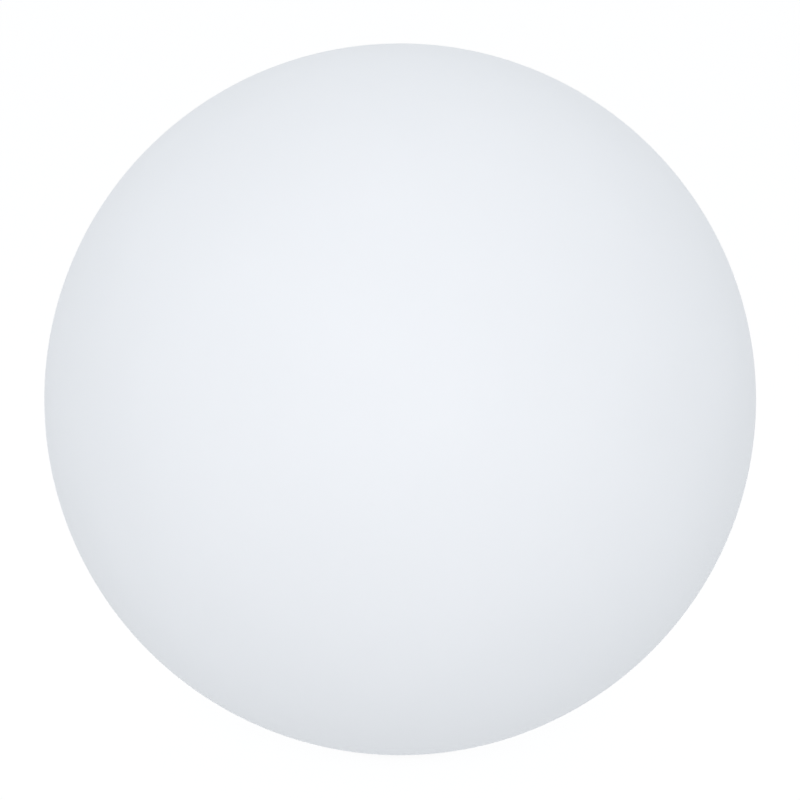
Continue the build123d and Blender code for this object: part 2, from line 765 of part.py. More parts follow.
def bail_brackets():
    """Two blocks that carry the bail's pivots against the recess's ceiling."""
    bore = Pos(0, 0, bail_height) * Rot(0, 90, 0) * Cylinder(
        BAIL_WIRE / 2 + PIN_RUNNING_GAP, 4 * bracket_outer
    )
    screw_hole = flat_screw_hole(SMALL_SCREW, 2 * BRACKET_DEPTH, SCREW_FIT)
    bracket_list = []
    for side in (-1, 1):
        edges = sorted((side * bracket_inner, side * bracket_outer))
        bracket = block(
            edges, around(0, BRACKET_WIDTH / 2), (bracket_underside, recess_ceiling)
        )
        bracket = fillet(bracket.edges().filter_by(Axis.Z), BRACKET_FILLET)
        bracket = chamfer(bracket.edges().group_by(Axis.Z)[0], BRACKET_CHAMFER)
        bracket = bracket - bore
        for x, y in bracket_screws_at:
            if x * side > 0:
                bracket = bracket - Pos(x, y, bracket_underside) * (
                    Rot(180, 0, 0) * screw_hole
                )
        bracket_list.append(bracket)
    return Compound(children=bracket_list)


def bracket_screws():
    """Countersunk screws that hold the two brackets, driven from below."""
    screw = (
        Pos(0, 0, bracket_underside)
        * Rot(180, 0, 0)
        * flat_screw(SMALL_SCREW, BRACKET_SCREW_LENGTH)
    )
    return each_at(bracket_screws_at, screw)


def button_cap():
    """Round cap that is pressed up from below, with a plain power symbol."""
    cap = disc(BUTTON_RADIUS, button_underside, button_top)
    cap = fillet(cap.edges().group_by(Axis.Z)[0], BUTTON_FILLET)
    cap = cap + disc(
        BUTTON_RADIUS + BUTTON_FLANGE_WIDTH, button_flange_underside, button_top
    )
    groove = ring(
        BUTTON_RADIUS - button_ring_depth(),
        BUTTON_RADIUS + OVERCUT,
        button_ring_height() - BUTTON_RING_SECTION / 2 - BUTTON_GROOVE_GAP,
        button_ring_height() + BUTTON_RING_SECTION / 2 + BUTTON_GROOVE_GAP,
    )
    symbol_top = button_underside + SYMBOL_DEPTH
    circle = ring(
        SYMBOL_RADIUS - SYMBOL_LINE,
        SYMBOL_RADIUS,
        button_underside - OVERCUT,
        symbol_top,
    )
    gap = block(
        around(0, SYMBOL_GAP / 2),
        (0, SYMBOL_RADIUS + OVERCUT),
        (0, symbol_top + OVERCUT),
    )
    bar = block(
        around(0, SYMBOL_LINE / 2),
        SYMBOL_BAR,
        (button_underside - OVERCUT, symbol_top),
    )
    return Pos(*BUTTON_AT, 0) * (cap - groove - (circle - gap) - bar)


def button_ring_height():
    """Height of the middle of the button's sealing ring."""
    return (recess_ceiling + floor_top) / 2


def button_ring_depth():
    """Depth of the groove that the button's sealing ring sits in."""
    return BUTTON_RING_SECTION - BUTTON_BORE_GAP + 2 * PIN_RUNNING_GAP


def button_ring():
    """Sealing ring round the button cap, which slides in the housing's bore."""
    section = BUTTON_RING_SECTION / 2
    middle = button_bore - PIN_RUNNING_GAP - section
    return Pos(*BUTTON_AT, button_ring_height()) * Torus(middle, section)


def tact_switch():
    """Switch body under the control board, bored for its plunger."""
    body = Pos(*BUTTON_AT, 0) * block(
        around(0, SWITCH_WIDTH / 2),
        around(0, SWITCH_WIDTH / 2),
        (switch_underside, board_underside),
    )
    body = chamfer(body.edges().filter_by(Axis.Z), SWITCH_CHAMFER)
    bore_top = button_top + STACK_GAP + PLUNGER_LENGTH + BUTTON_TRAVEL + STACK_GAP
    return body - Pos(*BUTTON_AT, 0) * disc(
        PLUNGER_RADIUS + PLUNGER_BORE_GAP, switch_underside - OVERCUT, bore_top
    )


def switch_plunger():
    """Plunger between the button cap and the switch's contact dome."""
    low = button_top + STACK_GAP
    return Pos(*BUTTON_AT, 0) * disc(PLUNGER_RADIUS, low, low + PLUNGER_LENGTH)


def socket_prism(grow, low, high):
    """Upright bar with the charging socket's rounded outline, grown all round."""
    outline = SlotOverall(SOCKET_WIDTH + 2 * grow, SOCKET_HEIGHT + 2 * grow)
    return Pos(0, 0, low) * extrude(outline, high - low)


def charging_socket():
    """Socket shell that hangs from the control board, its mouth facing down."""
    shell = socket_prism(0, socket_mouth, board_underside)
    hollow = socket_prism(
        -SOCKET_WALL, socket_mouth - OVERCUT, board_underside - SOCKET_BACK
    )
    return Pos(*PORT_AT, 0) * (shell - hollow)


def socket_tongue():
    """Contact tongue inside the charging socket."""
    tongue = block(
        around(0, TONGUE_WIDTH / 2),
        around(0, TONGUE_THICKNESS / 2),
        (socket_mouth + TONGUE_INSET, board_underside - SOCKET_BACK),
    )
    return Pos(*PORT_AT, 0) * tongue


def port_frame():
    """Frame round the charging port, with the two ears of the cover's hinge."""
    x, y = PORT_AT
    frame = block(
        around(x, PORT_FRAME_SIZE[0] / 2),
        around(y, PORT_FRAME_SIZE[1] / 2),
        (frame_underside, recess_ceiling),
    )
    frame = fillet(frame.edges().filter_by(Axis.Z), PORT_FRAME_FILLET)
    ear_start = KNUCKLE_LENGTH / 2 + KNUCKLE_GAP
    for side in (-1, 1):
        x_range = sorted((x + side * ear_start, x + side * (ear_start + EAR_THICKNESS)))
        web = block(
            x_range,
            (y + PORT_FRAME_SIZE[1] / 2 - MERGE, hinge_y + KNUCKLE_RADIUS),
            (hinge_height, recess_ceiling),
        )
        knuckle = lying_rod(KNUCKLE_RADIUS, x_range)
        frame = frame + web + knuckle
    opening = block(
        around(x, PORT_FRAME_OPENING[0] / 2),
        around(y, PORT_FRAME_OPENING[1] / 2),
        (frame_underside - OVERCUT, recess_ceiling + OVERCUT),
    )
    return frame - opening - hinge_bore(PIN_PRESS_GAP)


def lying_rod(radius, x_range):
    """Rod along X on the cover's hinge axis."""
    low, high = x_range
    return (
        Pos((low + high) / 2, hinge_y, hinge_height)
        * Rot(0, 90, 0)
        * Cylinder(radius, high - low)
    )


def hinge_bore(gap):
    """Hole along the cover's hinge axis, with a gap round the pin."""
    return lying_rod(HINGE_PIN_RADIUS + gap, around(PORT_AT[0], HINGE_PIN_LENGTH))


def hinge_pin():
    """Pin of the cover's hinge, held in the frame's ears."""
    return lying_rod(HINGE_PIN_RADIUS, around(PORT_AT[0], HINGE_PIN_LENGTH / 2))


def port_cover():
    """Flap over the charging port, with a plug that fills the frame's opening."""
    x, y = PORT_AT
    half_width = PORT_FRAME_SIZE[0] / 2 - COVER_EDGE
    half_depth = PORT_FRAME_SIZE[1] / 2 - COVER_EDGE
    back = y + half_depth - COVER_BACK
    plate = block(
        around(x, half_width), (y - half_depth, back), (cover_underside, cover_top)
    )
    plate = fillet(plate.edges().filter_by(Axis.Z), COVER_FILLET)
    plate = fillet(plate.edges().group_by(Axis.Z)[0], COVER_EDGE_FILLET)
    plug = block(
        around(x, PORT_FRAME_OPENING[0] / 2 - COVER_PLUG_GAP),
        around(y, PORT_FRAME_OPENING[1] / 2 - COVER_PLUG_GAP),
        (cover_top - MERGE, cover_top + COVER_PLUG_HEIGHT),
    )
    plug = fillet(plug.edges().filter_by(Axis.Z), COVER_FILLET)
    knuckle_range = around(x, KNUCKLE_LENGTH / 2)
    arm = block(
        knuckle_range, (back - 2 * MERGE, hinge_y), (cover_underside, cover_top)
    )
    cover = plate + plug + arm + lying_rod(KNUCKLE_RADIUS, knuckle_range)
    return cover - hinge_bore(PIN_RUNNING_GAP)


def light_pipe():
    """Clear pin that carries the charging light down through the floor."""
    pipe = disc(
        LIGHT_PIPE_RADIUS,
        recess_ceiling - LIGHT_PIPE_SINK,
        board_underside - INDICATOR_SIZE[2] - STACK_GAP,
    )
    pipe = fillet(pipe.edges().group_by(Axis.Z)[0], LIGHT_PIPE_FILLET)
    flange = disc(
        LIGHT_PIPE_FLANGE, floor_top, floor_top + LIGHT_PIPE_FLANGE_THICKNESS
    )
    return Pos(*LIGHT_PIPE_AT, 0) * (pipe + flange)


# ---------------------------------------------------------------------- electronics


def control_board():
    """Round board cut clear of the housing's posts."""
    board = disc(board_radius, board_underside, board_top)
    notch = disc(POST_RADIUS + BOARD_POST_GAP, 0, board_top + OVERCUT)
    hole = disc(SMALL_SCREW[0] / 2 + SCREW_CLEARANCE, 0, board_top + OVERCUT)
    board = cut_all(board, [Pos(x, y, 0) * notch for x, y in posts_at])
    return cut_all(board, [Pos(x, y, 0) * hole for x, y in board_screws_at])


def standing(size, height, edge):
    """Small component with broken edges, standing on a height."""
    width, depth, tall = size
    body = block(around(0, width / 2), around(0, depth / 2), (height, height + tall))
    return chamfer(body.edges().group_by(Axis.Z)[-1], edge)


def board_chips():
    """Charging and lamp-driving chips on the board."""
    return each_at(CHIPS_AT, standing(CHIP_SIZE, board_top, CHIP_CHAMFER))


def inductor():
    """Moulded inductor of the lamp driver."""
    return each_at([INDUCTOR_AT], standing(INDUCTOR_SIZE, board_top, INDUCTOR_CHAMFER))


def capacitors():
    """Round capacitor cans on the board."""
    can = disc(CAPACITOR_RADIUS, board_top, board_top + CAPACITOR_HEIGHT)
    can = fillet(can.edges().group_by(Axis.Z)[-1], CAPACITOR_FILLET)
    return each_at(CAPACITORS_AT, can)


def wire_connectors():
    """Plug-in connectors for the battery's and the lamp board's leads."""
    places = [battery_connector_at, LED_CONNECTOR_AT]
    return each_at(places, standing(CONNECTOR_SIZE, board_top, CONNECTOR_CHAMFER))


def indicator_led():
    """Charging indicator on the board's underside, above the light pipe."""
    width, depth, tall = INDICATOR_SIZE
    body = block(
        around(0, width / 2),
        around(0, depth / 2),
        (board_underside - tall, board_underside),
    )
    return Pos(*LIGHT_PIPE_AT, 0) * body


def board_screws():
    """Screws through the cradle's ears and the board into the standoffs."""
    screw = Pos(0, 0, cradle_top) * pan_screw(SMALL_SCREW, BOARD_SCREW_LENGTH)
    return each_at(board_screws_at, screw)


# ---------------------------------------------------------------------- battery


def lying(radius, length, middle=0.0):
    """Cylinder along X on the battery's axis."""
    return Pos(middle, 0, cell_height) * Rot(0, 90, 0) * Cylinder(radius, length)


def battery_cell():
    """Round lithium cell, its positive button towards +X."""
    middle = -PROTECTION_THICKNESS / 2
    can = lying(CELL_DIAMETER / 2, CELL_LENGTH, middle)
    return fillet(can.edges(), CELL_FILLET)


def protection_board():
    """Round protection board on the cell's positive end."""
    middle = CELL_LENGTH / 2
    return lying(PROTECTION_RADIUS, PROTECTION_THICKNESS, middle)


def battery_sleeve():
    """Shrink sleeve round the cell and its protection board."""
    tube = lying(pack_radius, pack_length) - lying(
        CELL_DIAMETER / 2, pack_length - 2 * SLEEVE_THICKNESS
    )
    return tube - lying(CELL_DIAMETER / 2 - SLEEVE_FOLD, pack_length + 2 * OVERCUT)


def battery_cradle():
    """Cradle with two saddles; its four ears share the board's screws."""
    base = block(
        around(0, cradle_length / 2),
        around(0, CRADLE_WIDTH / 2),
        (board_top, cradle_top),
    )
    ear_end = BOARD_SCREW_Y + CRADLE_EAR_WIDTH / 2
    for side in (-1, 1):
        ear = block(
            around(side * BOARD_SCREW_X, CRADLE_EAR_WIDTH / 2),
            around(0, ear_end),
            (board_top, cradle_top),
        )
        base = base + fillet(ear.edges().filter_by(Axis.Z), CRADLE_EAR_FILLET)
        saddle = block(
            around(side * saddle_x, SADDLE_THICKNESS / 2),
            around(0, CRADLE_WIDTH / 2),
            (board_top, cell_height - SADDLE_DROP),
        )
        base = base + saddle
    base = base - lying(pack_radius + SADDLE_GAP, 2 * CELL_LENGTH)
    hole = disc(SMALL_SCREW[0] / 2 + SCREW_CLEARANCE, 0, cradle_top + OVERCUT)
    base = cut_all(base, [Pos(x, y, 0) * hole for x, y in board_screws_at])
    slot_low = pack_radius + STRAP_GAP
    for side in (-1, 1):
        edges = sorted(
            (
                side * (slot_low - STRAP_GAP),
                side * (slot_low + STRAP_THICKNESS + STRAP_GAP),
            )
        )
        base = base - block(
            around(0, STRAP_WIDTH / 2 + STRAP_GAP), edges, (0, cradle_top + OVERCUT)
        )
    return base


def battery_strap():
    """Strap over the cell, its ends down in the cradle's slots."""
    inner = pack_radius + STRAP_GAP
    outer = inner + STRAP_THICKNESS
    strap = lying(outer, STRAP_WIDTH) - lying(inner, STRAP_WIDTH + OVERCUT)
    strap = strap & block(
        around(0, STRAP_WIDTH),
        around(0, outer + OVERCUT),
        (cell_height, cell_height + outer + OVERCUT),
    )
    for side in (-1, 1):
        leg = block(
            around(0, STRAP_WIDTH / 2),
            sorted((side * inner, side * outer)),
            (board_top + STACK_GAP, cell_height),
        )
        strap = strap + leg
    return strap


def battery_leads(side):
    """One lead from the battery's flank down to its connector."""
    x, y = battery_connector_at
    x = x + side * LEAD_SPACING / 2
    plug_top = board_top + CONNECTOR_SIZE[2]
    start = -pack_radius - LEAD_TOUCH_GAP
    bend = min(abs(y - start), cell_height - plug_top) * BATTERY_LEAD_BEND
    points = [(x, start, cell_height), (x, y, cell_height), (x, y, plug_top)]
    return wire_along(points, [bend], LEAD_DIAMETER)


# ---------------------------------------------------------------------- lamp


def heat_spreader():
    """Aluminium disc on the posts, which closes the housing under the lamp board."""
    plate = disc(spreader_radius, spreader_underside, housing_top)
    hole = disc(DOME_SCREW[0] / 2 + SCREW_CLEARANCE, 0, housing_top + OVERCUT)
    tapped = disc(SMALL_SCREW[0] / 2 + SCREW_FIT, 0, housing_top + OVERCUT)
    plate = cut_all(plate, [Pos(x, y, 0) * hole for x, y in posts_at])
    plate = cut_all(plate, [Pos(x, y, 0) * tapped for x, y in led_screws_at])
    return plate - disc(LEAD_HOLE_RADIUS, 0, housing_top + OVERCUT)


def led_board():
    """Round metal-core board that carries the emitters."""
    board = disc(LED_BOARD_RADIUS, housing_top, led_board_top)
    hole = disc(SMALL_SCREW[0] / 2 + SCREW_CLEARANCE, 0, led_board_top + OVERCUT)
    board = cut_all(board, [Pos(x, y, 0) * hole for x, y in led_screws_at])
    return board - disc(LEAD_HOLE_RADIUS, 0, led_board_top + OVERCUT)


def led_places():
    """Where each emitter stands, turned to face outwards."""
    return [
        Rot(0, 0, 360 / LED_COUNT * (i + 0.5)) * Pos(LED_RING_RADIUS, 0, 0)
        for i in range(LED_COUNT)
    ]


def led_cases():
    """White cases of the emitters, each with a round well."""
    width, depth, tall = LED_SIZE
    case = block(
        around(0, width / 2),
        around(0, depth / 2),
        (led_board_top, led_board_top + tall),
    )
    well_floor = led_board_top + tall * LED_WELL_FLOOR
    case = case - disc(width * LED_WELL, well_floor, led_board_top + tall + OVERCUT)
    return Compound(children=[place * case for place in led_places()])


def led_phosphors():
    """Yellow phosphor fills of the emitters' wells."""
    width, _, tall = LED_SIZE
    fill = disc(
        width * LED_WELL - LED_FILL_GAP,
        led_board_top + tall * LED_WELL_FLOOR,
        led_board_top + tall * LED_FILL_TOP,
    )
    return Compound(children=[place * fill for place in led_places()])


def led_screws():
    """Screws that clamp the lamp board to the heat spreader."""
    screw = Pos(0, 0, led_board_top) * pan_screw(SMALL_SCREW, LED_SCREW_LENGTH)
    return each_at(led_screws_at, screw)


def led_leads(side):
    """One lead from the control board up through the lamp board's middle."""
    x, y = LED_CONNECTOR_AT
    x = x + side * LEAD_SPACING / 2
    plug_top = board_top + CONNECTOR_SIZE[2]
    strap_top = cell_height + pack_radius + STRAP_GAP + STRAP_THICKNESS
    under = (strap_top + spreader_underside) / 2
    above = led_board_top + LEAD_DIAMETER / 2 + LEAD_TOUCH_GAP
    bend = (above - under) * LED_LEAD_RISE_BEND
    points = [
        (x, y, plug_top),
        (x, y, under),
        (x, LEAD_HOLE_Y, under),
        (x, LEAD_HOLE_Y, above),
        (x, LEAD_HOLE_Y - LEAD_TAIL, above),
    ]
    return wire_along(points, [LED_LEAD_BEND, bend, bend], LEAD_DIAMETER)


def lens_seal():
    """Flat gasket under the lens's flange, over the rim and the spreader's edge."""
    seal = ring(
        lens_radius + LENS_SEAL_OVERLAP, housing_radius, housing_top, lens_seal_top
    )
    hole = disc(DOME_SCREW[0] / 2 + SCREW_CLEARANCE, 0, lens_seal_top + OVERCUT)
    return cut_all(seal, [Pos(x, y, 0) * hole for x, y in posts_at])


def dome_lens():
    """Frosted dome with a screwed flange over the lamp board."""
    inner_radius = lens_radius - LENS_WALL
    outer = cap_outline(lens_radius, lens_flange_top, LENS_RISE)
    inner = cap_outline(inner_radius, lens_flange_top - LENS_WALL, LENS_RISE)
    flange = Pos(housing_radius / 2, (lens_seal_top + lens_flange_top) / 2) * Rectangle(
        housing_radius, LENS_FLANGE_THICKNESS
    )
    bore = Pos(inner_radius / 2, lens_seal_top) * Rectangle(
        inner_radius, 2 * (LENS_FLANGE_THICKNESS - LENS_WALL + HAIR)
    )
    outline = outer + flange - inner - bore
    outline = round_corners(outline, [(lens_radius, lens_flange_top, LENS_FILLET)])
    dome = turned(outline)
    hole = disc(DOME_SCREW[0] / 2 + SCREW_CLEARANCE, 0, lens_flange_top + OVERCUT)
    return cut_all(dome, [Pos(x, y, 0) * hole for x, y in posts_at])


def cap_outline(radius, base, rise):
    """Half outline of a round cap: its base's radius and height, and its rise."""
    curve = (radius**2 + rise**2) / (2 * rise)
    centre = base + rise - curve
    whole = Pos(0, centre) * Circle(curve)
    keep = Pos(radius / 2, base + rise / 2) * Rectangle(radius, rise)
    return whole & keep


def dome_screws():
    """Screws through the lens's flange, the gasket and the spreader into the posts."""
    screw = Pos(0, 0, lens_flange_top) * pan_screw(DOME_SCREW, DOME_SCREW_LENGTH)
    return each_at(posts_at, screw)


# ---------------------------------------------------------------------- all sub-parts

SUBPARTS = {
    # globe
    "globe_shell": globe_shell,
    "neck_ring": neck_ring,
    "neck_screws": neck_screws,
    "neck_gasket": neck_gasket,
    # between the globe and the module
    "slip_washer": slip_washer,
    # module housing and underside
    "base_housing": base_housing,
    "foot_ring": foot_ring,
    "rim_seal": rim_seal,
    "bail": bail,
    "bail_brackets": bail_brackets,
    "bracket_screws": bracket_screws,
    "button_cap": button_cap,
    "button_ring": button_ring,
    "switch_plunger": switch_plunger,
    "tact_switch": tact_switch,
    "charging_socket": charging_socket,
    "socket_tongue": socket_tongue,
    "port_frame": port_frame,
    "hinge_pin": hinge_pin,
    "port_cover": port_cover,
    "light_pipe": light_pipe,
    # electronics
    "control_board": control_board,
    "board_chips": board_chips,
    "inductor": inductor,
    "capacitors": capacitors,
    "wire_connectors": wire_connectors,
    "indicator_led": indicator_led,
    "board_screws": board_screws,
    # battery
    "battery_cell": battery_cell,
    "protection_board": protection_board,
    "battery_sleeve": battery_sleeve,
    "battery_cradle": battery_cradle,
    "battery_strap": battery_strap,
    "battery_lead_red": lambda: battery_leads(1),
    "battery_lead_black": lambda: battery_leads(-1),
    # lamp
    "heat_spreader": heat_spreader,
    "led_board": led_board,
    "led_cases": led_cases,
    "led_phosphors": led_phosphors,
    "led_screws": led_screws,
    "led_lead_red": lambda: led_leads(1),
    "led_lead_black": lambda: led_leads(-1),
    "lens_seal": lens_seal,
    "dome_lens": dome_lens,
    "dome_screws": dome_screws,
}

os.makedirs(OUTPUT_FOLDER, exist_ok=True)
for node, make in SUBPARTS.items():
    export_step(make(), f"{OUTPUT_FOLDER}/{node}.step")
    print("wrote", node)
print("globe centre at", round(globe_centre, 3), "height", round(globe_centre + globe_radius, 3))
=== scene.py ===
"""Garden globe light: its globe, its materials, and the light and camera of the photograph.

Metres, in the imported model's frame: +Z up, the origin at the bottom centre, the camera at -Y.
"""

from collections import namedtuple
from functools import partial
from math import asin, cos, hypot, pi, radians, sin, sqrt, tan

import bpy
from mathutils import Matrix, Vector


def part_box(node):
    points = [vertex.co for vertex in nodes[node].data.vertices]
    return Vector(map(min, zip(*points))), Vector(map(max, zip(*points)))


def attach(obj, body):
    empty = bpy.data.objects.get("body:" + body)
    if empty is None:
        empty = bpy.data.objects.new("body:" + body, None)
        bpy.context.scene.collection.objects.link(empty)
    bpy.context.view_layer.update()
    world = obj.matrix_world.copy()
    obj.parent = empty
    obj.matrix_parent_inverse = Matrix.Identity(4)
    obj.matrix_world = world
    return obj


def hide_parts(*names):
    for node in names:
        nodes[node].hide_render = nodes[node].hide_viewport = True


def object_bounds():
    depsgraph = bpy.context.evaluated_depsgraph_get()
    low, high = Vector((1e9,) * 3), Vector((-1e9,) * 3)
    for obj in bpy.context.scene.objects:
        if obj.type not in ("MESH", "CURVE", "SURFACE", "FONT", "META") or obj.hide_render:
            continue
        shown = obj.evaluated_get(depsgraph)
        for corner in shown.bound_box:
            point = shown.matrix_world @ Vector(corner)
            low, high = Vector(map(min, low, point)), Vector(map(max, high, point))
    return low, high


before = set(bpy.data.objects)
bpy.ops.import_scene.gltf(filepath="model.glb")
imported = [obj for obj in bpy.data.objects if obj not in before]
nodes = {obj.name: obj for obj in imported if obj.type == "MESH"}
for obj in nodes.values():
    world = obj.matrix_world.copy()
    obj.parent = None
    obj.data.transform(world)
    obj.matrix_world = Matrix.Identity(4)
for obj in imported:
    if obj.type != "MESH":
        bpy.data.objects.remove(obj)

cad_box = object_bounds()

# ---------------------------------------------------------------------- the photograph

PHOTO_SIZE = 800.0  # pixels, both ways
OUTLINE_RADIUS = 355.9  # pixels
OUTLINE_CENTRE = (400.2, 399.3)  # pixels from the left and from the top
CAMERA_ELEVATION = radians(15)  # hides the foot behind the globe's lower limb
CAMERA_DISTANCE = 0.9  # from the globe's centre
SENSOR_WIDTH = 36.0  # millimetres, as the lens is

# ---------------------------------------------------------------------- light and floor

AMBIENT_COLOUR = (0.762, 0.784, 0.809)
AMBIENT_LEVEL = 1.0
AMBIENT_TILT = (0.0, 0.23, 0.0)  # what it gains right behind the globe and loses in front
KEY_COLOUR = (1.0, 0.98, 1.0)
KEY_POWER = 13.7
KEY_DISTANCE = 2.0
KEY_SIZE = 1.3
KEY_ELEVATION = radians(18)
KEY_AZIMUTH = radians(-1.5)  # to the camera's left
WHITE = (1.0, 1.0, 1.0)
FLOOR_SIZE = 24.0
FLOOR_DROP = 0.0002  # its gap below the globe light
FLOOR_GLOW = 0.88  # the floor's own white
FLOOR_COLOUR = 0.15  # what it adds where the light reaches it

# ---------------------------------------------------------------------- globe mesh

AROUND = 288  # steps round the globe
ARC_STEP = 2 * pi / AROUND  # and along its outline
CORNER_STEPS = 6
CRISP_ANGLE = radians(50)  # edges that turn further stay sharp
LIP_FILLET = 0.0013  # outer edge of the foot
MOUTH_FILLET = 0.0008  # its inner edge
COLLAR_FILLET = 0.001  # rim of the collar inside the globe
MOULDED_FILLET = 0.0014  # corners round the collar's root
INNER_LIP_FILLET = 0.0007  # where the lining meets the mouth
HAIR = 0.0001  # slack in telling the node's points apart
ON_AXIS = 1e-6  # a smaller radius is a point on the axis

# ---------------------------------------------------------------------- finishes

NOISE_LOW = 0.3  # most of a noise lies between these two
NOISE_HIGH = 0.7
EVEN_SCATTER = (1, 1, 1)  # red, green and blue light go equally deep
OPAL_WHITE = (0.872, 0.888, 0.905)
LINING_TRANSLUCENCY = 1.0  # the lining lets more light through than the skin
LINING_DEPTH = 0.006
FROSTED_CLEAR = (0.93, 0.94, 0.95)
POLISHED_CLEAR = (0.93, 0.95, 0.96)
TRACK_LENGTH = 0.0052
TRACK_PITCH = 0.0013
TRACK_HALF_WIDTH = 0.00022
TRACK_BLUR = 0.1  # softness of a track's edge, from 0 to 1
MASK_VARIATION = 1.08  # how much paler the palest field of solder mask is


# ---------------------------------------------------------------------- node helpers


class NodeTree:
    """The node tree of a material or a world, with short calls for what it needs."""

    def __init__(self, owner):
        owner.use_nodes = True
        self.tree = owner.node_tree
        self.tree.nodes.clear()

    def node(self, kind, values=None, **settings):
        """A new node, with its settings and the values of its sockets by name or number."""
        made = self.tree.nodes.new("ShaderNode" + kind)
        for setting, value in settings.items():
            setattr(made, setting, value)
        for socket, value in (values or {}).items():
            made.inputs[socket].default_value = value
        return made

    def link(self, output, socket):
        self.tree.links.new(output, socket)

    def larger(self, first, second):
        """The larger of two numbers."""
        made = self.node("Math", operation="MAXIMUM")
        self.link(first, made.inputs[0])
        self.link(second, made.inputs[1])
        return made.outputs["Value"]

    def mixed(self, fac, first, second):
        """The first shader where fac is 0, the second where it is 1."""
        made = self.node("MixShader")
        self.link(fac, made.inputs["Fac"])
        self.link(first, made.inputs[1])
        self.link(second, made.inputs[2])
        return made.outputs["Shader"]


class Skin(NodeTree):
    """A material of patterns that lie in the object's own metres."""

    def __init__(self, name):
        self.material = bpy.data.materials.new(name)
        super().__init__(self.material)
        self.place = self.node("TexCoord").outputs["Object"]

    def noise(self, size, detail=3.0, stretch=(1, 1, 1)):
        """Noise from 0 to 1, in patches about size metres across, times stretch along X, Y, Z."""
        mapping = self.node("Mapping", {"Scale": [1 / size / s for s in stretch]})
        texture = self.node("TexNoise", {"Scale": 1.0, "Detail": detail})
        self.link(self.place, mapping.inputs["Vector"])
        self.link(mapping.outputs["Vector"], texture.inputs["Vector"])
        return texture.outputs["Fac"]

    def cells(self, size):
        """Cells about size metres across: the distance from each one's middle."""
        texture = self.node("TexVoronoi", {"Scale": 1 / size})
        self.link(self.place, texture.inputs["Vector"])
        return texture.outputs["Distance"]

    def between(self, fac, low, high):
        """A number that goes from low to high with a noise."""
        reach = {"From Min": NOISE_LOW, "From Max": NOISE_HIGH, "To Min": low, "To Max": high}
        ranged = self.node("MapRange", reach)
        self.link(fac, ranged.inputs["Value"])
        return ranged.outputs["Result"]

    def tints(self, fac, base, darkest, palest, start=NOISE_LOW, end=NOISE_HIGH):
        """The base colour times a factor, darkest to palest as fac goes from start to end."""
        ramp = self.node("ValToRGB")
        stops = zip(ramp.color_ramp.elements, (start, end), (darkest, palest))
        for stop, position, factor in stops:
            stop.position = position
            stop.color = (*shade(base, factor), 1)
        self.link(fac, ramp.inputs["Fac"])
        return ramp.outputs["Color"]

    def relief(self, fac, depth, under=None):
        """Bump of a depth in metres, on top of the bump that is under it."""
        bump = self.node("Bump", {"Distance": depth})
        self.link(fac, bump.inputs["Height"])
        if under is not None:
            self.link(under, bump.inputs["Normal"])
        return bump.outputs["Normal"]

    def finish(self, colour, roughness, normal=None, **fixed):
        """The surface: linked colour, roughness and relief, and fixed values by SOCKETS' words."""
        values = {SOCKETS[word]: value for word, value in fixed.items()}
        surface = self.node("BsdfPrincipled", {"Subsurface Radius": EVEN_SCATTER, **values})
        self.link(colour, surface.inputs["Base Color"])
        self.link(roughness, surface.inputs["Roughness"])
        if normal is not None:
            self.link(normal, surface.inputs["Normal"])
        output = self.node("OutputMaterial")
        self.link(surface.outputs["BSDF"], output.inputs["Surface"])
        return self.material


SOCKETS = {
    "metallic": "Metallic",
    "ior": "IOR",
    "subsurface": "Subsurface Weight",
    "subsurface_scale": "Subsurface Scale",
    "specular": "Specular IOR Level",
    "transmission": "Transmission Weight",
    "coat": "Coat Weight",
    "coat_roughness": "Coat Roughness",
    "sheen": "Sheen Weight",
}


def shade(colour, factor):
    """A colour made lighter or darker."""
    return tuple(min(1.0, c * factor) for c in colour)


# ---------------------------------------------------------------------- materials


def opal_plastic(name, translucency=0.2, depth=0.002):
    """Rotomoulded globe skin: matt, translucent, with the mould's faint waviness."""
    s = Skin(name)
    colour = s.tints(s.noise(size=0.06, detail=2), OPAL_WHITE, darkest=0.994, palest=1.006)
    roughness = s.between(s.noise(size=0.02), low=0.62, high=0.7)
    wave = s.relief(s.noise(size=0.03, detail=1), depth=0.00012)
    grain = s.relief(s.noise(size=0.0009, detail=2), depth=0.000006, under=wave)
    return s.finish(
        colour,
        roughness,
        grain,
        ior=1.51,
        specular=0.2,
        subsurface=translucency,
        subsurface_scale=depth,
    )


def moulded(name, base, rough, grain_size=0.0005, **fixed):
    """Injection-moulded plastic with a spark-eroded grain and slight flow marks."""
    s = Skin(name)
    colour = s.tints(s.noise(size=0.012, detail=4), base, darkest=0.98, palest=1.015)
    roughness = s.between(s.noise(size=0.004), low=rough - 0.05, high=rough + 0.06)
    flow = s.relief(s.noise(size=0.02, detail=1, stretch=(1, 1, 0.3)), depth=0.00005)
    grain = s.relief(s.noise(size=grain_size, detail=2), depth=0.000012, under=flow)
    return s.finish(colour, roughness, grain, **fixed)


def rubber(name, base, rough=0.8):
    """Moulded rubber: fine pores and a bloom of paler dust."""
    s = Skin(name)
    dust = s.noise(size=0.006, detail=6)
    colour = s.tints(dust, base, darkest=1.0, palest=1.5, start=0.45, end=0.8)
    roughness = s.between(dust, low=rough - 0.08, high=rough + 0.1)
    pores = s.relief(s.cells(size=0.0007), depth=0.00003)
    return s.finish(colour, roughness, pores, sheen=0.08)


def metal(name, base, rough, lines=(1, 1, 1)):
    """Bare or plated metal with fine marks, drawn out along the longer stretch."""
    s = Skin(name)
    marks = s.noise(size=0.0012, detail=2, stretch=lines)
    colour = s.tints(s.noise(size=0.01), base, darkest=0.93, palest=1.04)
    roughness = s.between(marks, low=rough - 0.05, high=rough + 0.08)
    return s.finish(colour, roughness, s.relief(marks, depth=0.000001), metallic=1.0)


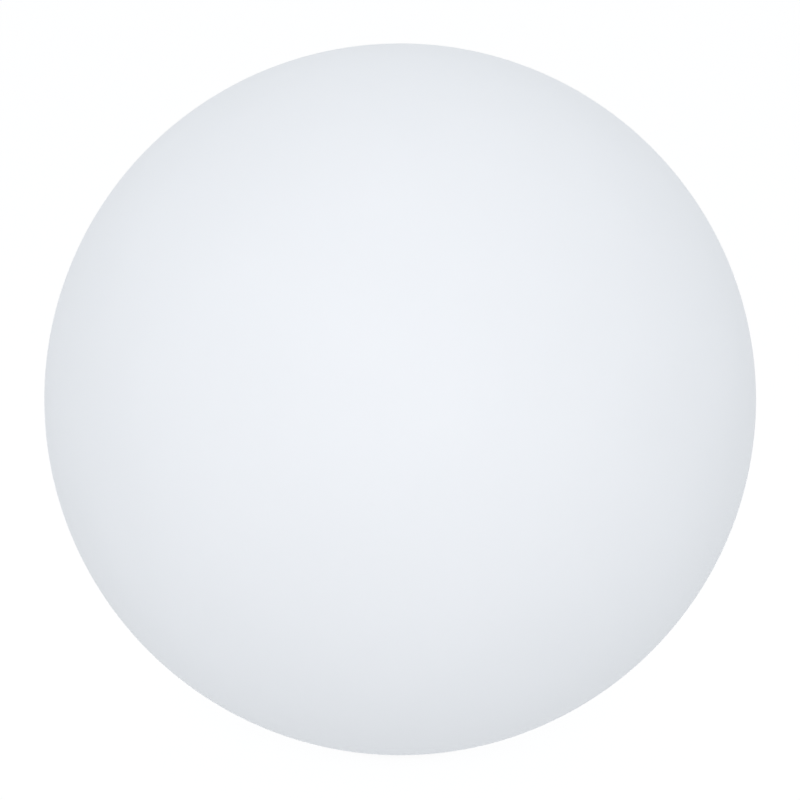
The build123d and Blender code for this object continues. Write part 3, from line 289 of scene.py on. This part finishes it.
def printed_board(name, mask, track):
    """Circuit board: solder mask over copper tracks that run square to each other."""
    s = Skin(name)
    lanes = s.node(
        "TexBrick",
        {
            "Scale": 1.0,
            "Brick Width": TRACK_LENGTH,
            "Row Height": TRACK_PITCH,
            "Mortar Size": TRACK_HALF_WIDTH,
            "Mortar Smooth": TRACK_BLUR,
            "Color1": (*mask, 1),
            "Color2": (*shade(mask, MASK_VARIATION), 1),
            "Mortar": (*track, 1),
        },
    )
    s.link(s.place, lanes.inputs["Vector"])
    roughness = s.between(s.noise(size=0.002), low=0.28, high=0.4)
    tracks = s.relief(lanes.outputs["Fac"], depth=0.00003)
    return s.finish(lanes.outputs["Color"], roughness, tracks, coat=0.3, coat_roughness=0.2)


def frosted_lens(name):
    """Frosted polycarbonate: a stippled inner face scatters what shines through."""
    s = Skin(name)
    colour = s.tints(s.noise(size=0.01), FROSTED_CLEAR, darkest=0.985, palest=1.0)
    roughness = s.between(s.noise(size=0.003), low=0.36, high=0.44)
    stipple = s.relief(s.cells(size=0.0011), depth=0.00002)
    return s.finish(
        colour,
        roughness,
        stipple,
        ior=1.58,
        transmission=0.15,
        subsurface=0.4,
        subsurface_scale=0.002,
    )


def clear_plastic(name):
    """Polished acrylic."""
    s = Skin(name)
    colour = s.tints(s.noise(size=0.004), POLISHED_CLEAR, darkest=0.98, palest=1.0)
    roughness = s.between(s.noise(size=0.001), low=0.05, high=0.12)
    return s.finish(colour, roughness, ior=1.49, transmission=0.55)


def shrunk_film(name, base):
    """Shrink sleeve: glossy film with faint creases along the cell."""
    s = Skin(name)
    creases = s.noise(size=0.0016, detail=3, stretch=(6, 1, 1))
    colour = s.tints(creases, base, darkest=0.85, palest=1.12)
    roughness = s.between(creases, low=0.2, high=0.34)
    folds = s.relief(creases, depth=0.00006)
    return s.finish(colour, roughness, folds, coat=0.2, coat_roughness=0.1)


def pressed_powder(name, base):
    """Pressed iron powder: a speckle of small grains."""
    s = Skin(name)
    speckle = s.noise(size=0.0003, detail=4)
    colour = s.tints(speckle, base, darkest=0.7, palest=1.5)
    roughness = s.between(speckle, low=0.5, high=0.7)
    return s.finish(colour, roughness, s.relief(speckle, depth=0.00003))


def phosphor(name, base):
    """Silicone filled with phosphor."""
    s = Skin(name)
    speckle = s.noise(size=0.0004, detail=3)
    colour = s.tints(speckle, base, darkest=0.9, palest=1.08)
    roughness = s.between(speckle, low=0.45, high=0.6)
    grains = s.relief(speckle, depth=0.00001)
    return s.finish(colour, roughness, grains, subsurface=0.3, subsurface_scale=0.0005)


SLOTS = {
    "opal_plastic": opal_plastic,
    "white_plastic": partial(moulded, base=(0.8, 0.81, 0.815), rough=0.42),
    "grey_plastic": partial(moulded, base=(0.27, 0.285, 0.3), rough=0.45),
    "black_plastic": partial(moulded, base=(0.03, 0.03, 0.033), rough=0.5),
    "slip_plastic": partial(
        moulded, base=(0.72, 0.7, 0.64), rough=0.35, subsurface=0.2, subsurface_scale=0.001
    ),
    "lens_plastic": frosted_lens,
    "clear_plastic": clear_plastic,
    "foot_rubber": partial(rubber, base=(0.08, 0.083, 0.088)),
    "seal_rubber": partial(rubber, base=(0.03, 0.03, 0.032), rough=0.6),
    "cover_rubber": partial(rubber, base=(0.14, 0.147, 0.155), rough=0.7),
    "stainless_steel": partial(metal, base=(0.44, 0.443, 0.445), rough=0.2),
    "zinc_steel": partial(metal, base=(0.5, 0.515, 0.54), rough=0.33),
    "board_green": partial(printed_board, mask=(0.012, 0.1, 0.045), track=(0.03, 0.2, 0.09)),
    "board_white": partial(printed_board, mask=(0.78, 0.78, 0.76), track=(0.7, 0.69, 0.66)),
    "component_black": partial(moulded, base=(0.025, 0.025, 0.028), rough=0.55, grain_size=0.0002),
    "ferrite_grey": partial(pressed_powder, base=(0.07, 0.07, 0.075)),
    "capacitor_can": partial(metal, base=(0.7, 0.71, 0.73), rough=0.3, lines=(1, 1, 5)),
    "connector_white": partial(
        moulded, base=(0.78, 0.76, 0.68), rough=0.38, subsurface=0.15, subsurface_scale=0.001
    ),
    "spreader_aluminium": partial(metal, base=(0.72, 0.73, 0.745), rough=0.36, lines=(12, 1, 1)),
    "cell_steel": partial(metal, base=(0.55, 0.54, 0.52), rough=0.3, lines=(1, 6, 6)),
    "sleeve_blue": partial(shrunk_film, base=(0.02, 0.1, 0.3)),
    "phosphor_yellow": partial(phosphor, base=(0.86, 0.6, 0.08)),
    "emitter_white": partial(moulded, base=(0.8, 0.8, 0.77), rough=0.3, grain_size=0.0002),
    "lead_red": partial(moulded, base=(0.42, 0.015, 0.012), rough=0.4, grain_size=0.0004),
    "lead_black": partial(moulded, base=(0.015, 0.015, 0.015), rough=0.4, grain_size=0.0004),
}


def dress_nodes():
    """Gives every node of the frame the material made for its slot."""
    made = {slot: make("skin_" + slot) for slot, make in SLOTS.items()}
    for node in nodes.values():
        for material_slot in node.material_slots:
            material_slot.material = made[material_slot.material.name]
    return made


# ---------------------------------------------------------------------- the scene's objects


def placed(name, data):
    """A new object in the scene, for a mesh, a lamp or a camera."""
    thing = bpy.data.objects.new(name, data)
    bpy.context.scene.collection.objects.link(thing)
    return thing


def away(target, distance, elevation, azimuth=0.0):
    """A point at a distance from a target, up from the horizon and round from -Y."""
    level = cos(elevation)
    direction = Vector((sin(azimuth) * level, -cos(azimuth) * level, sin(elevation)))
    return target + direction * distance


def aim(thing, target):
    """Points a lamp or camera at a target."""
    thing.rotation_euler = (target - thing.location).to_track_quat("-Z", "Y").to_euler()


# ---------------------------------------------------------------------- globe


# Heights of its centre, its lip, the ledge in its mouth and the top of the collar over it,
# radii of its outside, its mouth and the collar's bore, and the thickness of its wall.
GlobeSizes = namedtuple("GlobeSizes", "centre lip ledge collar radius mouth bore wall")


def globe_sizes():
    """The globe's sizes, measured on its node."""
    low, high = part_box("globe_shell")
    points = [(hypot(v.co.x, v.co.y), v.co.z) for v in nodes["globe_shell"].data.vertices]
    radius = min(high.x - low.x, high.y - low.y) / 2
    centre = high.z - radius
    wall = high.z - max(z for r, z in points if r < HAIR and z < high.z - HAIR)
    bore = min(r for r, z in points if z < centre)
    ledge = min(z for r, z in points if r < bore + HAIR)
    collar = max(z for r, z in points if r < bore + HAIR and z < centre)
    mouth = min(r for r, z in points if z < ledge - HAIR)
    return GlobeSizes(centre, low.z, ledge, collar, radius, mouth, bore, wall)


def arc(centre_height, radius, start, end):
    """Points of an arc about a centre on the axis; angles are up from straight down."""
    steps = max(2, round(abs(end - start) / ARC_STEP))
    angles = [start + (end - start) * i / steps for i in range(steps + 1)]
    return [(radius * sin(a), centre_height - radius * cos(a)) for a in angles]


def rounded(before, corner, after, radius):
    """Points of a fillet at a corner, between the points before it and after it."""
    corner, before, after = Vector(corner), Vector(before), Vector(after)
    back = (before - corner).normalized()
    on = (after - corner).normalized()
    half = back.angle(on) / 2
    reach = radius / tan(half)
    first = corner + back * reach
    last = corner + on * reach
    middle = corner + (back + on).normalized() * (radius / sin(half))
    points = []
    for i in range(CORNER_STEPS + 1):
        mixed = first.lerp(last, i / CORNER_STEPS) - middle
        points.append(tuple(middle + mixed.normalized() * radius))
    return points


def globe_outline(sizes):
    """Half outlines of the globe's skin with its mouth, and of its lining with the collar."""
    centre, lip, ledge, collar, radius, mouth, bore, wall = sizes
    outer_lip = sqrt(radius**2 - (centre - lip) ** 2)
    inner = radius - wall
    mouth_outer = mouth + wall
    crease = centre - sqrt(inner**2 - mouth_outer**2)
    skin = arc(centre, radius, pi, asin(outer_lip / radius))
    lining = arc(centre, inner, asin(mouth_outer / inner), pi)
    edge = (outer_lip, lip)
    mouth_edge = (mouth, lip)
    collar_rim = (bore + wall, collar)
    collar_root = (bore + wall, ledge + wall)
    shoulder = (mouth_outer, ledge + wall)
    inner_lip = (mouth_outer, crease)
    outside = skin[:-1]
    outside += rounded(skin[-2], edge, mouth_edge, LIP_FILLET)
    outside += rounded(edge, mouth_edge, (mouth, ledge), MOUTH_FILLET)
    outside += [(mouth, ledge), (bore, ledge)]
    inside = [(bore, ledge), (bore, collar)]
    inside += rounded((bore, collar), collar_rim, collar_root, COLLAR_FILLET)
    inside += rounded(collar_rim, collar_root, shoulder, MOULDED_FILLET)
    inside += rounded(collar_root, shoulder, inner_lip, MOULDED_FILLET)
    inside += rounded(shoulder, inner_lip, lining[1], INNER_LIP_FILLET)
    inside += lining[1:]
    return outside, inside


def turned_mesh(name, outline):
    """Mesh of revolution of a (radius, height) outline whose ends lie on the axis."""
    vertices = []
    rings = []
    for radius, height in outline:
        if radius < ON_AXIS:
            rings.append([len(vertices)])
            vertices.append((0, 0, height))
            continue
        rings.append(list(range(len(vertices), len(vertices) + AROUND)))
        for i in range(AROUND):
            turn = 2 * pi * i / AROUND
            vertices.append((radius * cos(turn), radius * sin(turn), height))
    faces = []
    for lower, upper in zip(rings, rings[1:]):
        for i in range(AROUND):
            j = (i + 1) % AROUND
            if len(lower) == 1:
                faces.append((lower[0], upper[i], upper[j]))
            elif len(upper) == 1:
                faces.append((lower[i], upper[0], lower[j]))
            else:
                faces.append((lower[i], upper[i], upper[j], lower[j]))
    mesh = bpy.data.meshes.new(name)
    mesh.from_pydata(vertices, [], faces)
    mesh.validate()
    mesh.shade_smooth()
    return mesh


def globe_piece(sizes, material):
    """The globe as a finer mesh than the frame's, its lining clearer than its skin."""
    outside, inside = globe_outline(sizes)
    mesh = turned_mesh("globe_skin", outside + inside[1:])
    mesh.materials.append(material)
    mesh.materials.append(opal_plastic("skin_opal_lining", LINING_TRANSLUCENCY, LINING_DEPTH))
    skin_faces = AROUND * (len(outside) - 1)
    for face in mesh.polygons:
        face.material_index = int(face.index >= skin_faces)
    mesh.set_sharp_from_angle(angle=CRISP_ANGLE)
    piece = placed("globe_skin", mesh)
    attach(piece, "globe")
    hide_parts("globe_shell")


# ---------------------------------------------------------------------- stage


def floor_material():
    """White that glows by itself and still takes a faint shadow. It is clear from below."""
    material = bpy.data.materials.new("floor_white")
    s = NodeTree(material)
    glow = s.node("Emission", {"Strength": FLOOR_GLOW})
    matt = s.node("BsdfDiffuse", {"Color": (FLOOR_COLOUR,) * 3 + (1,)})
    lit = s.node("AddShader")
    s.link(glow.outputs["Emission"], lit.inputs[0])
    s.link(matt.outputs["BSDF"], lit.inputs[1])
    clear = s.node("BsdfTransparent")
    underside = s.node("NewGeometry").outputs["Backfacing"]
    sides = s.mixed(underside, lit.outputs["Shader"], clear.outputs["BSDF"])
    s.link(sides, s.node("OutputMaterial").inputs["Surface"])
    return material


def floor():
    """White floor just below the light. Only the camera sees it, so it lights nothing."""
    half = FLOOR_SIZE / 2
    mesh = bpy.data.meshes.new("floor")
    corners = [(-half, -half, 0), (half, -half, 0), (half, half, 0), (-half, half, 0)]
    mesh.from_pydata(corners, [], [(0, 1, 2, 3)])
    mesh.materials.append(floor_material())
    plane = placed("floor", mesh)
    plane.location.z = cad_box[0].z - FLOOR_DROP
    plane.visible_diffuse = False
    plane.visible_glossy = False
    plane.visible_transmission = False
    plane.visible_shadow = False


def studio():
    """Even pale light all round, and white where the camera or a reflection sees it."""
    world = bpy.data.worlds.new("studio")
    bpy.context.scene.world = world
    s = NodeTree(world)
    direction = s.node("TexCoord").outputs["Generated"]
    tilt = s.node("VectorMath", {1: AMBIENT_TILT}, operation="DOT_PRODUCT")
    s.link(direction, tilt.inputs[0])
    level = s.node("Math", {1: AMBIENT_LEVEL}, operation="ADD")
    s.link(tilt.outputs["Value"], level.inputs[0])
    ambient = s.node("Background", {"Color": (*AMBIENT_COLOUR, 1)})
    s.link(level.outputs["Value"], ambient.inputs["Strength"])
    white = s.node("Background", {"Color": (*WHITE, 1)})
    rays = s.node("LightPath").outputs
    reflected = s.larger(rays["Is Glossy Ray"], rays["Is Transmission Ray"])
    seen = s.larger(rays["Is Camera Ray"], reflected)
    surroundings = s.mixed(seen, ambient.outputs["Background"], white.outputs["Background"])
    s.link(surroundings, s.node("OutputWorld").inputs["Surface"])


def key_light(target):
    """Large soft lamp in front of the globe and above it."""
    lamp = bpy.data.lights.new("key", "AREA")
    lamp.shape = "DISK"
    lamp.size = KEY_SIZE
    lamp.energy = KEY_POWER
    lamp.color = KEY_COLOUR
    holder = placed("key", lamp)
    holder.location = away(target, KEY_DISTANCE, KEY_ELEVATION, KEY_AZIMUTH)
    aim(holder, target)
    holder.visible_glossy = False


def camera(target, globe_radius):
    """Camera whose view of the globe has the photograph's outline."""
    half_angle = asin(globe_radius / CAMERA_DISTANCE)
    data = bpy.data.cameras.new("camera")
    data.sensor_width = SENSOR_WIDTH
    data.lens = OUTLINE_RADIUS / tan(half_angle) * SENSOR_WIDTH / PHOTO_SIZE
    data.shift_x = (PHOTO_SIZE / 2 - OUTLINE_CENTRE[0]) / PHOTO_SIZE
    data.shift_y = (OUTLINE_CENTRE[1] - PHOTO_SIZE / 2) / PHOTO_SIZE
    holder = placed("camera", data)
    holder.location = away(target, CAMERA_DISTANCE, CAMERA_ELEVATION)
    aim(holder, target)
    bpy.context.scene.camera = holder


# ---------------------------------------------------------------------- the scene

sizes = globe_sizes()
globe_centre = Vector((0, 0, sizes.centre))
skins = dress_nodes()
globe_piece(sizes, skins["opal_plastic"])
floor()
studio()
key_light(globe_centre)
camera(globe_centre, sizes.radius)
bpy.context.scene.view_settings.view_transform = "Standard"
